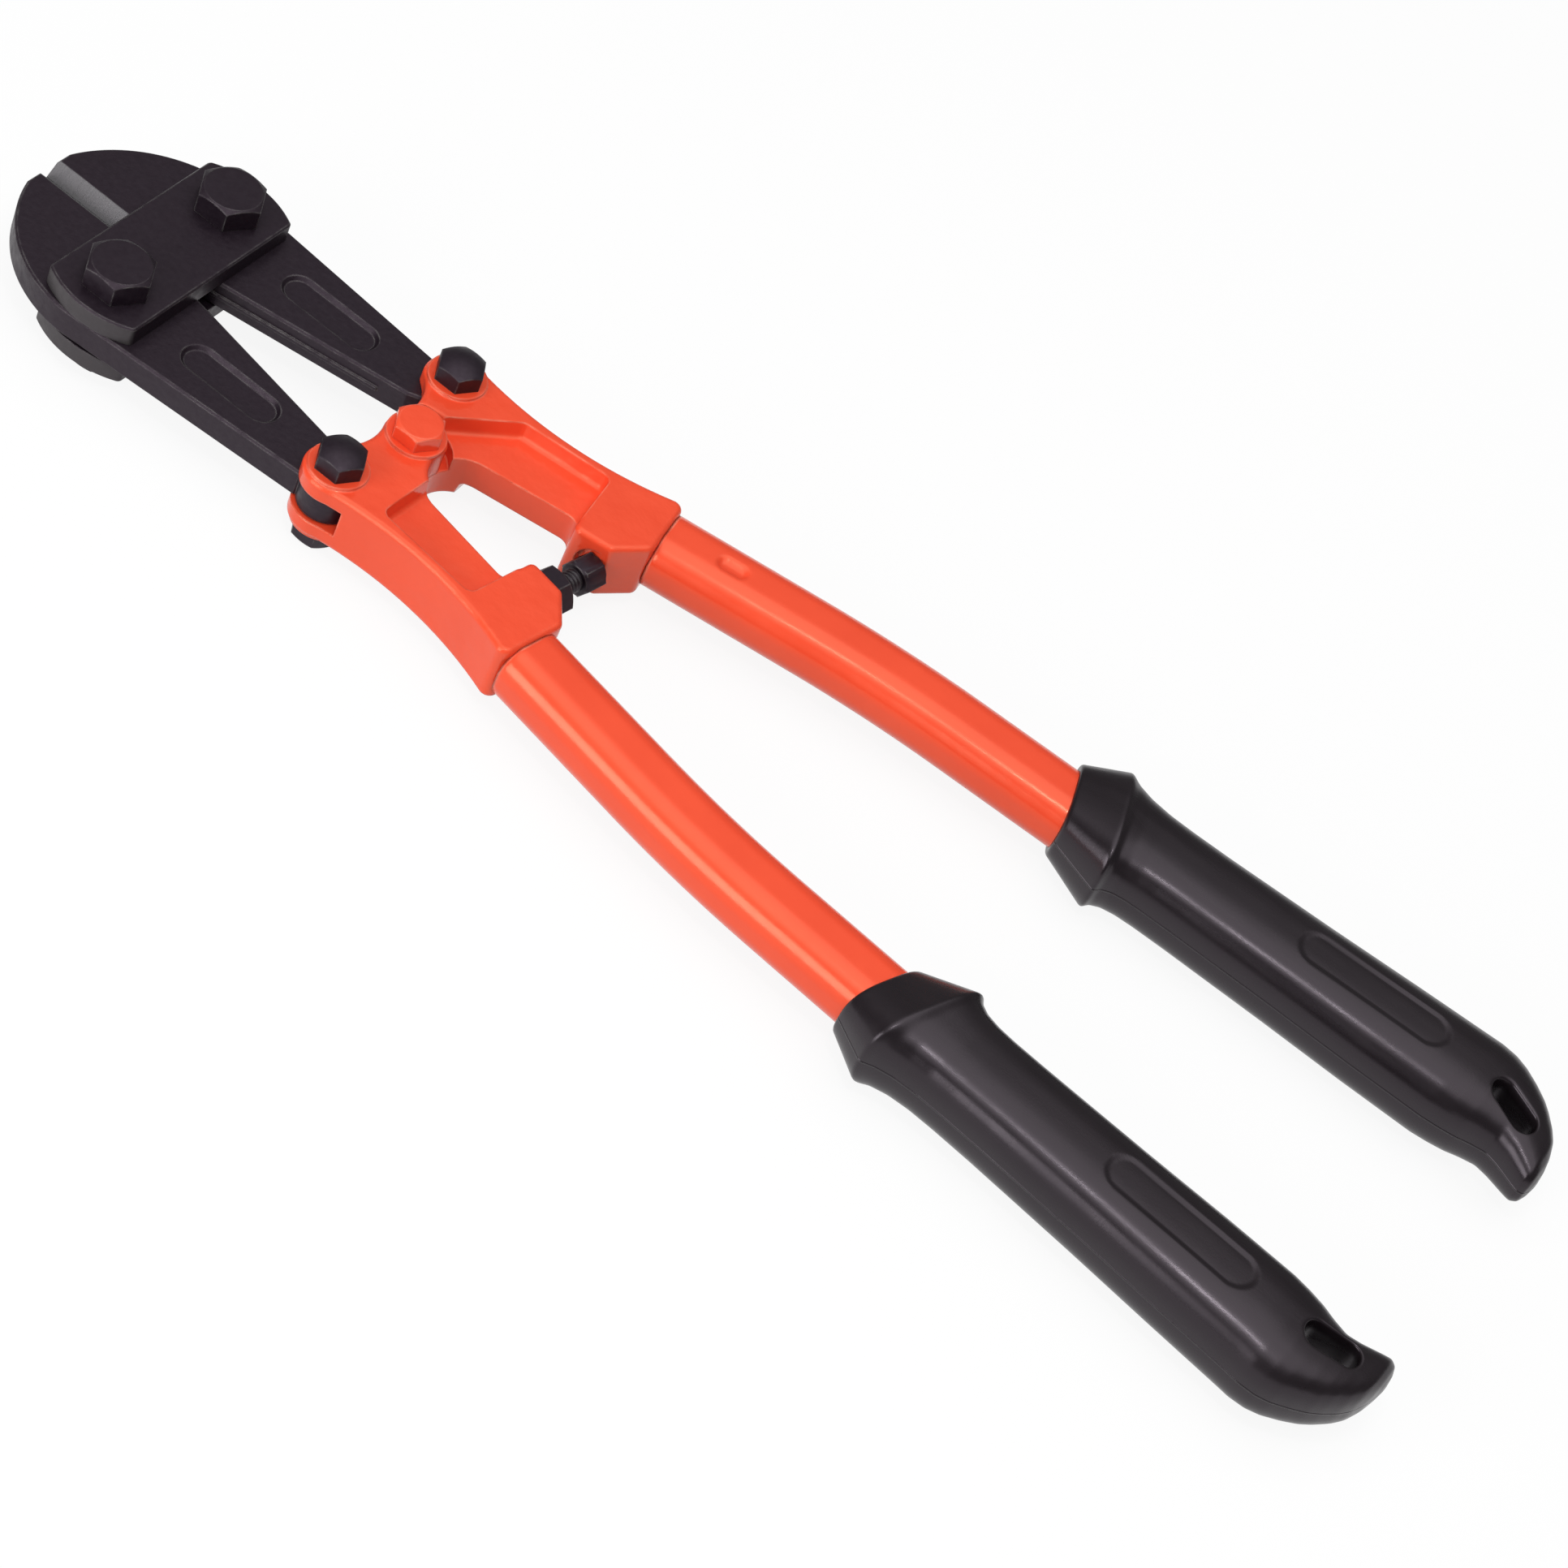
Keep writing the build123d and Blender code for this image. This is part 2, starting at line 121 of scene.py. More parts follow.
def spread(tree, value, low, high, to_low=0.0, to_high=1.0):
    """Value mapped from low..high to to_low..to_high and held at the ends."""
    return add(tree, "MapRange", {0: value, 1: low, 2: high, 3: to_low, 4: to_high}).outputs[0]


def times(tree, first, second):
    """Product of two values."""
    return add(tree, "Math", {0: first, 1: second}, operation="MULTIPLY").outputs[0]


print("node helpers ready")

# %% [markdown]
# ## Studio
#
# A shop picture has a white ground and soft light. The room has dim walls and a brighter ceiling, so that
# glossy black keeps dark sides under a soft top. The floor is part paint and part glow for the rays that
# are seen, so it reads as white paper but still holds a soft shadow. For all other rays the paint is
# darker, so that little light bounces up under the tool.

# %% World and floor
scene.view_settings.view_transform = "Standard"
wall_light, ceiling_light, ceiling_from = 0.2, 1.2, 0.6
paint_unseen, paint_seen = (0.5, 0.5, 0.5, 1), (0.9, 0.9, 0.9, 1)
glow_share = 0.9
floor_half = 12.0


def seen_rays(tree):
    """1 for camera, glossy and transmission rays, 0 for the rest, as one socket."""
    path = add(tree, "LightPath").outputs
    either = add(tree, "Math", {0: path["Is Camera Ray"], 1: path["Is Glossy Ray"]}, operation="MAXIMUM")
    through = {0: either.outputs[0], 1: path["Is Transmission Ray"]}
    return add(tree, "Math", through, operation="MAXIMUM").outputs[0]


world = bpy.data.worlds.new("studio")
scene.world = world
world.use_nodes = True
room = world.node_tree
toward = add(room, "SeparateXYZ", {0: add(room, "TexCoord").outputs["Generated"]}).outputs["Z"]
strength = spread(room, toward, ceiling_from, 1.0, wall_light, ceiling_light)
room.nodes["Background"].inputs["Color"].default_value = (1, 1, 1, 1)
room.links.new(strength, room.nodes["Background"].inputs["Strength"])

paper = bpy.data.materials.new("floor_paper")
paper.use_nodes = True
sheet = paper.node_tree
sheet.nodes.clear()
tone = add(sheet, "MixRGB", {"Fac": seen_rays(sheet), "Color1": paint_unseen, "Color2": paint_seen})
matt = add(sheet, "BsdfDiffuse", {"Color": tone.outputs[0]}).outputs[0]
glow = add(sheet, "Emission").outputs[0]
paper_mix = add(sheet, "MixShader", {0: times(sheet, seen_rays(sheet), glow_share), 1: matt, 2: glow})
add(sheet, "OutputMaterial", {"Surface": paper_mix.outputs[0]})

corners = [(x * floor_half, y * floor_half, 0) for x, y in ((-1, -1), (1, -1), (1, 1), (-1, 1))]
floor_mesh = bpy.data.meshes.new("floor")
floor_mesh.from_pydata(corners, [], [(0, 1, 2, 3)])
floor_mesh.materials.append(paper)
floor = bpy.data.objects.new("floor", floor_mesh)
scene.collection.objects.link(floor)
print("floor of", 2 * floor_half, "m")

# %% [markdown]
# Three lamps do the rest. A wide one overhead gives the level, a low softbox at the camera's side draws the
# long pale streak along the shoulder of each tube, and a small strip draws a finer one along the grips.

# %% Lamps
lamps = {
    # name: place, point aimed at, width and height, all in metres, then watts
    "overhead": ((-0.1, 0.1, 1.3), (0, 0, 0), 1.7, 1.7, 6.8),
    "low_side": ((0.34, 0.82, 0.30), (0.02, 0.03, 0.012), 0.6, 0.5, 5.2),
    "grip_strip": ((-0.08, 0.25, 0.6), (-0.13, 0, 0.012), 0.12, 0.03, 0.6),
}


def softbox(name, place, aim_at, wide, high, watts):
    """Rectangular lamp at place, facing aim_at."""
    lamp = bpy.data.objects.new(name, bpy.data.lights.new(name, "AREA"))
    lamp.data.shape = "RECTANGLE"
    lamp.data.size, lamp.data.size_y, lamp.data.energy = wide, high, watts
    lamp.location = place
    lamp.rotation_mode = "QUATERNION"
    lamp.rotation_quaternion = (Vector(aim_at) - Vector(place)).to_track_quat("-Z", "Y")
    scene.collection.objects.link(lamp)


for name, values in lamps.items():
    softbox(name, *values)
print("lamps:", list(lamps))

# %% [markdown]
# ## Finishes
#
# Three finishes cover the tool: gloss red enamel, black oxide on forged steel and satin moulded vinyl. Each
# is a Principled shader whose colour, roughness and bump come from noise in Object coordinates. A Bevel
# node compares the true surface with one whose edges are rounded. The rounded normal softens the shading,
# and where the two differ the edge gets its own colour: a painted highlight on the enamel, rubbed grey on the
# oxide.

# %% Helpers for finishes
edge_starts, edge_full = 0.98, 0.86  # cosines of the turn between the true and the rounded normal


def start_finish(name, shine, glint):
    """New material with its node tree, shader and Object coordinates; shine and glint are its mirror part."""
    made = bpy.data.materials.new(name)
    made.use_nodes = True
    tree = made.node_tree
    shader = tree.nodes["Principled BSDF"]
    shader.inputs["Specular IOR Level"].default_value = shine
    shader.inputs["Specular Tint"].default_value = glint
    return made, tree, shader, add(tree, "TexCoord").outputs["Object"]


def noise(tree, place, cells, detail=3.0):
    """Grey noise of that many cells per metre, from 0 to 1."""
    return add(tree, "TexNoise", {"Vector": place, "Scale": cells, "Detail": detail}).outputs["Fac"]


def drawn_noise(tree, place, cells, detail):
    """Grey noise with its own number of cells per metre along X, Y and Z."""
    drawn = add(tree, "Mapping", {"Vector": place, "Scale": cells}).outputs[0]
    return noise(tree, drawn, 1.0, detail)


def patches(tree, place, cells, between, onto=(0.0, 1.0), detail=3.0):
    """Noise stretched from the range between to the range onto, which leaves soft-edged patches."""
    return spread(tree, noise(tree, place, cells, detail), *between, *onto)


def blend_colour(tree, amount, first, second):
    """First colour at amount 0 and second at 1."""
    return add(tree, "MixRGB", {"Fac": amount, "Color1": first, "Color2": second}).outputs[0]


def edge_amount(tree, radius):
    """Rounded normal, and an amount from 0 on plain faces to 1 where the true normal differs from it."""
    soft = add(tree, "Bevel", {"Radius": radius}, samples=4).outputs["Normal"]
    true_normal = add(tree, "NewGeometry").outputs["Normal"]
    agree = add(tree, "VectorMath", {0: soft, 1: true_normal}, operation="DOT_PRODUCT").outputs["Value"]
    return soft, spread(tree, agree, edge_starts, edge_full)


def bump(tree, height, distance, over=None):
    """Normal tilted by that height pattern, distance metres tall, over another normal where one is given."""
    made = add(tree, "Bump", {"Height": height, "Distance": distance, "Strength": 1.0})
    if over is not None:
        tree.links.new(over, made.inputs["Normal"])
    return made.outputs["Normal"]


def join(tree, shader, colour, rough, normal):
    """Colour, roughness and normal linked to the shader."""
    for socket, value in (("Base Color", colour), ("Roughness", rough), ("Normal", normal)):
        tree.links.new(value, shader.inputs[socket])


print("finish helpers ready")

# %% [markdown]
# ### Red enamel
#
# Sprayed enamel is smooth but never flat: it has a faint orange peel, and over a forging it follows the
# rough skin of the steel. Its rounded edges are painted paler, a painted highlight where the gloss catches
# them.
# The same recipe serves the forks, with a coarse skin and a sharp gloss, and the tubes, with a fine skin and
# a softer gloss.

# %% Red enamel on forgings and on tubes
enamel_body = (0.82, 0.067, 0.025, 1), (0.87, 0.076, 0.029, 1)
# The pale edge colour is a painted highlight on the rounded edges.
enamel_edge_highlight = (1.0, 0.26, 0.17, 1)
enamel_shine, enamel_glint = 0.65, (1.0, 0.75, 0.5, 1)


def red_enamel(name, skin_cells, skin_height, edge_radius, gloss):
    """Enamel over a skin of that many cells per metre, that high in metres; gloss is its roughness range."""
    made, tree, shader, place = start_finish(name, enamel_shine, enamel_glint)
    soft, edge = edge_amount(tree, edge_radius)
    body = blend_colour(tree, patches(tree, place, cells=60.0, between=(0.3, 0.7)), *enamel_body)
    # Painted highlight: the pale colour laid along the rounded edges, broken up by noise.
    painted_edge_highlight = times(tree, edge, patches(tree, place, cells=220.0, between=(0.35, 0.6), onto=(0.15, 1.0)))
    rough = patches(tree, place, cells=400.0, between=(0.3, 0.7), onto=gloss)
    skin = bump(tree, noise(tree, place, skin_cells, detail=4.0), skin_height, over=soft)
    join(tree, shader, blend_colour(tree, painted_edge_highlight, body, enamel_edge_highlight), rough, skin)
    return made


forging_red = red_enamel("red_enamel_forging", skin_cells=150.0, skin_height=0.00026, edge_radius=0.0007,
                         gloss=(0.11, 0.19))
tube_red = red_enamel("red_enamel_tube", skin_cells=90.0, skin_height=0.00005, edge_radius=0.0004,
                      gloss=(0.17, 0.25))
print("finishes:", forging_red.name, tube_red.name)

# %% [markdown]
# ### Black oxide and the ground edge
#
# Jaws, plates and bolts are blackened by a hot salt bath, which leaves a satin near-black with a hint of
# violet. Handling rubs the sharp edges to grey. The upright faces of the side plates' round ends are painted
# paler, as painted light. On the jaws the cutting bevel is ground after blackening, so a band beside the
# closing line, ahead of the plates, is bare steel with grinding marks across it.

# %% Painted light on the plate ends, and the ground band
# Painted light: a paler grey for the upright faces of the side plates' round ends.
painted_end_light, end_light_most = (0.045, 0.043, 0.042, 1), 0.8
steep_side, flat_top = 0.4, 0.7  # Z of a face's normal
ground_steel = (0.105, 0.105, 0.107, 1), (0.15, 0.15, 0.152, 1)
ground_rough, grinding_cells = 0.42, (4000.0, 90.0, 90.0)


def painted_light_on_ends(tree, across, colour, ends_from):
    """Colour turned to a paler grey, painted light, on upright faces whose |Y| passes ends_from, over one
    millimetre.
    """
    facing = add(tree, "SeparateXYZ", {0: add(tree, "NewGeometry").outputs["Normal"]}).outputs["Z"]
    upright_face = spread(tree, facing, steep_side, flat_top, 1.0, 0.0)
    far_out = spread(tree, across, ends_from, ends_from + MM, 0.0, end_light_most)
    return blend_colour(tree, times(tree, upright_face, far_out), colour, painted_end_light)


def ground_band(tree, place, along, across, bevel, looks):
    """Colour, roughness and height, turned to ground steel where X > bevel[0] and |Y| < bevel[1]."""
    colour, rough, height = looks
    ahead = spread(tree, along, bevel[0], bevel[0] + 0.2 * MM)
    near = spread(tree, across, bevel[1] - 0.1 * MM, bevel[1] + 0.1 * MM, 1.0, 0.0)
    band = times(tree, ahead, near)
    marks = drawn_noise(tree, place, grinding_cells, detail=2.0)
    steel = blend_colour(tree, marks, *ground_steel)
    return (blend_colour(tree, band, colour, steel), spread(tree, band, 0.0, 1.0, rough, ground_rough),
            spread(tree, band, 0.0, 1.0, height, marks))


print("band and ends ready")

# %% Black oxide
oxide_body = (0.0070, 0.0036, 0.0068, 1), (0.0114, 0.0076, 0.0112, 1)
oxide_rubbed = (0.15, 0.145, 0.14, 1)
oxide_shine, oxide_glint = 0.38, (1.0, 0.81, 0.97, 1)
oxide_edge = 0.0005


def black_oxide(name, skin_height, bevel=None, ends_from=None):
    """Satin black with rubbed edges; bevel and ends_from, in metres, add a ground band and painted light on
    the plate ends.
    """
    made, tree, shader, place = start_finish(name, oxide_shine, oxide_glint)
    soft, edge = edge_amount(tree, oxide_edge)
    speck = patches(tree, place, cells=900.0, between=(0.35, 0.75), detail=5.0)
    body = blend_colour(tree, speck, *oxide_body)
    rub = times(tree, edge, patches(tree, place, cells=350.0, between=(0.38, 0.62), onto=(0.2, 1.0)))
    colour = blend_colour(tree, rub, body, oxide_rubbed)
    rough = patches(tree, place, cells=500.0, between=(0.3, 0.7), onto=(0.36, 0.52))
    height = noise(tree, place, cells=700.0, detail=5.0)
    parts = add(tree, "SeparateXYZ", {0: place}).outputs
    across = add(tree, "Math", {0: parts["Y"]}, operation="ABSOLUTE").outputs[0]
    if ends_from is not None:
        # Painted light on the upright faces of the plate ends.
        colour = painted_light_on_ends(tree, across, colour, ends_from)
    if bevel is not None:
        colour, rough, height = ground_band(tree, place, parts["X"], across, bevel, (colour, rough, height))
    join(tree, shader, colour, rough, bump(tree, height, skin_height, over=soft))
    return made


jaw_black = black_oxide("black_oxide_jaw", skin_height=0.00006, bevel=(0.1555, 0.00308))
plate_black = black_oxide("black_oxide_plate", skin_height=0.00004, ends_from=0.024)
bolt_black = black_oxide("black_oxide_fastener", skin_height=0.00003)
print("finishes:", jaw_black.name, plate_black.name, bolt_black.name)

# %% [markdown]
# ### Moulded vinyl
#
# The grips are moulded vinyl: a dark satin with a very fine pebble from the mould and a few soft rub marks
# that change the gloss more than the colour. The two halves of the mould leave a hair line round the
# middle.

# %% Vinyl for the grips
vinyl_body = (0.0068, 0.0046, 0.0058, 1), (0.0100, 0.0074, 0.0088, 1)
vinyl_shine, vinyl_glint = 0.45, (1.0, 0.88, 0.99, 1)
mould_line_at, mould_line_high = float(PIVOT[2]) * MM, 0.00012
pebble_cells, pebble_high = 1500.0, 0.00001
rub_cells = (60.0, 400.0, 400.0)


def moulded_vinyl(name):
    """Dark satin with fine pebble bump, stretched rub marks and a mould line at the middle height."""
    made, tree, shader, place = start_finish(name, vinyl_shine, vinyl_glint)
    cloud = patches(tree, place, cells=45.0, between=(0.3, 0.7), detail=4.0)
    body = blend_colour(tree, cloud, *vinyl_body)
    rough = spread(tree, drawn_noise(tree, place, rub_cells, detail=3.0), 0.35, 0.7, 0.25, 0.34)
    height = add(tree, "SeparateXYZ", {0: place}).outputs["Z"]
    from_line = add(tree, "Math", {0: height, 1: mould_line_at}, operation="SUBTRACT").outputs[0]
    off = add(tree, "Math", {0: from_line}, operation="ABSOLUTE").outputs[0]
    line = spread(tree, off, 0.1 * MM, 0.3 * MM, 1.0, 0.0)
    pebble = bump(tree, noise(tree, place, pebble_cells, detail=2.0), pebble_high)
    join(tree, shader, body, rough, bump(tree, line, mould_line_high, over=pebble))
    return made


grip_vinyl = moulded_vinyl("moulded_vinyl")
print("finish:", grip_vinyl.name)

# %% [markdown]
# ## From arrays to meshes
#
# A surface here is one or more sheets of points, rows by columns. Sheets that share an edge are put into
# one mesh, their common points are merged, and the faces are turned outwards. Index arithmetic on whole
# arrays makes the faces, so no loop visits a single vertex.

# %% Sheets of points become one closed mesh
weld_reach, sliver_reach = 2e-6, 1e-7


def sheet_faces(rows, columns, first):
    """Quads between neighbouring rows and columns, numbered from first."""
    corner = first + np.arange(rows - 1)[:, None] * columns + np.arange(columns - 1)[None, :]
    return np.stack([corner, corner + 1, corner + columns + 1, corner + columns], -1).reshape(-1, 4)


def close_up(mesh):
    """Merges common points, turns the faces outwards and gives the number of edges left open."""
    work = bmesh.new()
    work.from_mesh(mesh)
    bmesh.ops.remove_doubles(work, verts=work.verts, dist=weld_reach)
    bmesh.ops.dissolve_degenerate(work, edges=work.edges, dist=sliver_reach)
    bmesh.ops.recalc_face_normals(work, faces=work.faces)
    open_edges = sum(edge.is_boundary for edge in work.edges)
    work.to_mesh(mesh)
    work.free()
    return open_edges


def make_piece(name, sheets, side, finish, body, stands_for, crease=50.0):
    """Mesh of the given layout sheets, closed up and shaded smooth up to the crease angle, in degrees."""
    points, faces, first = [], [], 0
    for rows in sheets:
        points.append(to_model(rows.reshape(-1, 3), side))
        faces.append(sheet_faces(rows.shape[0], rows.shape[1], first))
        first += rows.shape[0] * rows.shape[1]
    mesh = bpy.data.meshes.new(name)
    mesh.from_pydata(np.concatenate(points).tolist(), [], np.concatenate(faces).tolist())
    open_edges = close_up(mesh)
    mesh.shade_smooth()
    mesh.set_sharp_from_angle(angle=radians(crease))
    mesh.materials.append(finish)
    piece = bpy.data.objects.new(name, mesh)
    scene.collection.objects.link(piece)
    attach(piece, body)
    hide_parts(stands_for)
    print(name, "faces", len(mesh.polygons), "open edges", open_edges)


print("points closer than", weld_reach, "m are merged")

# %% [markdown]
# ## Handle tubes
#
# Each handle is a steel tube, drawn to a rounded oblong and bent once. A punch mark near the front presses
# the wall into the tang to lock it. The path is found by adding up its heading, so the bend is a true arc,
# and the section is a rounded oblong resampled to even steps so that the punch mark has enough points.

# %% Path and section of a tube
tube_start, tube_bend = np.array([-48.3, 23.4]), np.array([-100.0, 32.7])
front_turn = np.arctan2(tube_bend[1] - tube_start[1], tube_start[0] - tube_bend[0])
back_turn = radians(3.3)
tube_wide, tube_high, tube_corner, tube_wall = 15.8, 13.3, 5.6, 1.6
bend_radius = 300.0
path_steps, section_steps = 6000, 2001


def tube_path(along):
    """Points and headings: heading is constant, falls evenly over the bend's arc, then is constant again."""
    setback = bend_radius * tan((front_turn - back_turn) / 2)
    bend_from = np.hypot(*(tube_bend - tube_start)) - setback
    fine = np.linspace(0, along.max(), path_steps)
    heading = np.clip(front_turn - (fine - bend_from) / bend_radius, back_turn, front_turn)
    step = fine[1] - fine[0]
    x = tube_start[0] - np.cumsum(np.cos(heading)) * step + np.cos(heading[0]) * step
    y = tube_start[1] + np.cumsum(np.sin(heading)) * step - np.sin(heading[0]) * step
    return np.interp(along, fine, x), np.interp(along, fine, y), np.interp(along, fine, heading)


def oblong(wide, high, corner, count):
    """Closed rounded oblong: corner centres plus a circle, resampled to even arc length, as (across, up)."""
    turn = np.linspace(0, 2 * pi, section_steps) + 1e-6
    across = np.sign(np.cos(turn)) * (wide / 2 - corner) + corner * np.cos(turn)
    rise = np.sign(np.sin(turn)) * (high / 2 - corner) + corner * np.sin(turn)
    length = np.concatenate([[0], np.cumsum(np.hypot(np.diff(across), np.diff(rise)))])
    even = np.linspace(0, length[-1], count)
    return np.interp(even, length, across), np.interp(even, length, rise)


print("bend of", round(np.degrees(front_turn - back_turn), 2), "degrees")

# %% [markdown]
# The punch mark is a stadium, a slot shape with round ends, pressed into the wall. A signed distance to the
# stadium says how far in a point lies, and a smooth step turns that into depth. The same two functions
# shape the slot and the sunk panel of the grips later on.

# %% Both tubes
punch_at, punch_aside, punch_run, punch_radius, punch_deep = 15.0, -0.6, 1.7, 1.7, 0.9
punch_lip, punch_slope = 0.5, 1.5
tube_columns, inner_step = 97, 12
# Rows lie close together round the punch mark and wide apart elsewhere
tube_rows = np.concatenate([np.linspace(0, 8, 9), np.linspace(8.4, 24, 50), np.linspace(26, 190, 84)])


def stadium_gap(x, y, centre, turn, half_run, radius):
    """Signed distance to a stadium: distance to its middle line less its radius, negative inside."""
    along = (x - centre[0]) * cos(turn) + (y - centre[1]) * sin(turn)
    aside = (y - centre[1]) * cos(turn) - (x - centre[0]) * sin(turn)
    return np.hypot(along - np.clip(along, -half_run, half_run), aside) - radius


def ease(value):
    """Smooth step from 0 to 1 over the unit range."""
    held = np.clip(value, 0, 1)
    return held * held * (3 - 2 * held)


def tube_face(rows, inset):
    """Wall that far inside the outer skin: the section carried along the path, square to its heading."""
    x, y, heading = tube_path(rows)
    across, rise = oblong(tube_wide - 2 * inset, tube_high - 2 * inset, tube_corner - inset, tube_columns)
    flat = np.broadcast_to(across, (len(rows), tube_columns))
    high = np.broadcast_to(rise, (len(rows), tube_columns)).copy()
    if inset == 0.0:
        centre = (punch_at, punch_aside)
        gap = stadium_gap(rows[:, None] + 0 * flat, flat, centre, 0.0, punch_run, punch_radius)
        high += np.where(high < 0, punch_deep, 0) * ease((punch_lip - gap) / punch_slope)
    return np.stack([x[:, None] + flat * np.sin(heading)[:, None],
                     y[:, None] + flat * np.cos(heading)[:, None], high], -1)


def tube_sheet():
    """Outer wall from front to back, then the inner wall back to the front, closed on its first row."""
    outer = tube_face(tube_rows, 0.0)
    return np.concatenate([outer, tube_face(tube_rows[::-inner_step], tube_wall), outer[:1]])


for side in ("left", "right"):
    make_piece(side + "_tube_drawn", [tube_sheet()], side, tube_red, side + "_handle",
               side + "_tube")

# %% [markdown]
# ## Moulded grips
#
# A grip starts with a slanted flared collar that keeps the hand off the steel, sweeps in to a waist, swells
# along the palm and ends in a hooked tip with a slot for hanging. Across it is a fat oblong, well drawn by
# a superellipse. Lengthwise, a short table of stations gives how far it reaches inwards, outwards and up,
# and a moving average rounds that table's corners the way the mould does.

# %% Stations along a grip
grip_stations = np.array([
    # x, reach inwards, reach outwards, half height, slant in degrees
    [-146.5, 7.2, 7.2, 6.0, 20.0],
    [-143.6, 7.5, 7.5, 6.2, 20.0],
    [-143.7, 9.0, 9.0, 7.6, 20.0],
    [-154.2, 13.6, 13.6, 10.9, 20.0],
    [-156.0, 12.2, 12.3, 10.1, 18.5],
    [-159.0, 11.2, 11.3, 9.6, 15.5],
    [-163.0, 10.75, 10.8, 9.3, 11.0],
    [-168.0, 10.65, 10.7, 9.2, 6.0],
    [-176.0, 10.75, 10.75, 9.2, 1.0],
    [-200.0, 11.2, 11.2, 9.4, 0.0],
    [-220.0, 11.8, 11.8, 9.65, 0.0],
    [-236.0, 12.0, 12.2, 9.75, 0.0],
    [-240.0, 11.7, 12.45, 9.6, 0.0],
    [-243.5, 11.2, 12.1, 9.3, 0.0],
    [-246.5, 10.4, 11.1, 8.85, 0.0],
    [-250.0, 9.8, 9.1, 8.3, 0.0],
    [-253.0, 10.7, 7.1, 7.75, 0.0],
    [-255.0, 11.6, 5.3, 7.3, 0.0],
    [-257.5, 12.8, 2.5, 6.6, 0.0],
    [-259.2, 13.5, -0.1, 6.0, 0.0],
    [-260.5, 13.2, -3.6, 4.6, 0.0],
    [-261.2, 11.6, -6.8, 2.9, 0.0],
    [-261.5, 10.0, -8.8, 0.6, 0.0],
])
sample_count, corner_window = 1600, 1.0


def handle_line(x):
    """Height in plan of the tube's straight back run at x."""
    return tube_bend[1] + (tube_bend[0] - x) * tan(back_turn)


def rounded_stations(count, window):
    """Stations resampled along their own length, then averaged over a moving window to round the corners."""
    plan_step = np.hypot(*np.diff(grip_stations[:, :2], axis=0).T)
    run = np.concatenate([[0], np.cumsum(np.hypot(plan_step, np.diff(grip_stations[:, 3])))])
    even = np.linspace(0, run[-1], count)
    plain = np.stack([np.interp(even, run, column) for column in grip_stations.T], -1)
    reach = int(window / (even[1] - even[0]))
    weight = np.hanning(2 * reach + 3)[1:-1]
    before, after = 2 * plain[:1] - plain[reach:0:-1], 2 * plain[-1:] - plain[-2:-reach - 2:-1]
    padded = np.concatenate([before, plain, after])
    return np.stack([np.convolve(c, weight / weight.sum(), "valid") for c in padded.T], -1)


rounded = rounded_stations(sample_count, corner_window)
print("stations rounded:", rounded.shape)

# %% [markdown]
# The slot is the one hole in the grip. To keep the surface a plain grid, each row is split in two strips
# that meet on a seam along the top: an inner strip and an outer strip. Where a row crosses the slot the
# seam opens to the slot's two edges, and a wall joins top and bottom there. Rows crowd together at the
# slot's round ends.

# %% Rows of a grip
slot_centre, slot_turn = (-249.0, 38.6), radians(16.0)
slot_half_run, slot_radius, slot_rim = 3.1, 2.9, 0.6
slot_half = slot_half_run * cos(slot_turn) + slot_radius
collar_end, palm_from, palm_to, tail_from = -165.0, -165.5, -242.9, -240.0
collar_rows, palm_rows, slot_rows, tip_rows = 60, 150, 45, 70
plug_samples = 60


def grip_rows():
    """Row numbers into the rounded table: close where the shape turns fast, cosine steps over the slot."""
    x = rounded[:, 0]
    tail = np.arange(len(x)) > np.argmin(np.abs(x - tail_from))
    over_slot = slot_centre[0] + slot_half * np.cos(np.linspace(0, pi, slot_rows))
    at_slot = np.interp(-over_slot, -x[tail], np.flatnonzero(tail))
    collar = np.linspace(0, np.argmin(np.abs(x - collar_end)), collar_rows)
    # The plug's samples run both ways along X, so the palm is looked up behind them
    palm_x = np.linspace(palm_from, palm_to, palm_rows)
    palm = np.interp(-palm_x, -x[plug_samples:], np.arange(plug_samples, len(x)))
    tip = np.linspace(at_slot[-1], len(x) - 1, tip_rows)[1:]
    return np.concatenate([collar, palm, at_slot, tip])


print("rows:", len(grip_rows()))

# %% Seam and section of a grip
seam_room_ahead, seam_room_behind = 18.0, 6.6
usual_half, usual_high = 12.0, 9.6
outside, seam_steps, share_steps = 1e9, 201, 4001


def seam_lines(x, middle):
    """Inner and outer seam in plan: the slot's edges over it, elsewhere one line easing to the middle."""
    run = np.linspace(-slot_half_run, slot_half_run, seam_steps)
    drop = slot_radius ** 2 - (x[:, None] - slot_centre[0] - run * cos(slot_turn)) ** 2
    bulge = np.sqrt(np.maximum(drop, 0))
    axis = slot_centre[1] + run * sin(slot_turn)
    top = np.where(drop >= 0, axis + bulge, -outside).max(1)
    low = np.where(drop >= 0, axis - bulge, outside).min(1)
    end = slot_centre[1] + np.sign(x - slot_centre[0]) * slot_half_run * sin(slot_turn)
    away = np.abs(x - slot_centre[0]) - slot_half
    room = np.where(x > slot_centre[0], seam_room_ahead, seam_room_behind)
    single = end + (middle - end) * ease(away / room)
    inside = away < -1e-6
    return np.where(inside, low, single), np.where(inside, top, single)


def even_shares(count, power):
    """Shares from the silhouette (1) to the seam (0) that step evenly along a usual superellipse."""
    turn = np.linspace(0, pi / 2, share_steps)
    across, rise = usual_half * np.cos(turn) ** (2 / power), usual_high * np.sin(turn) ** (2 / power)
    length = np.concatenate([[0], np.cumsum(np.hypot(np.diff(across), np.diff(rise)))])
    return np.interp(np.linspace(0, length[-1], count), length, across) / usual_half


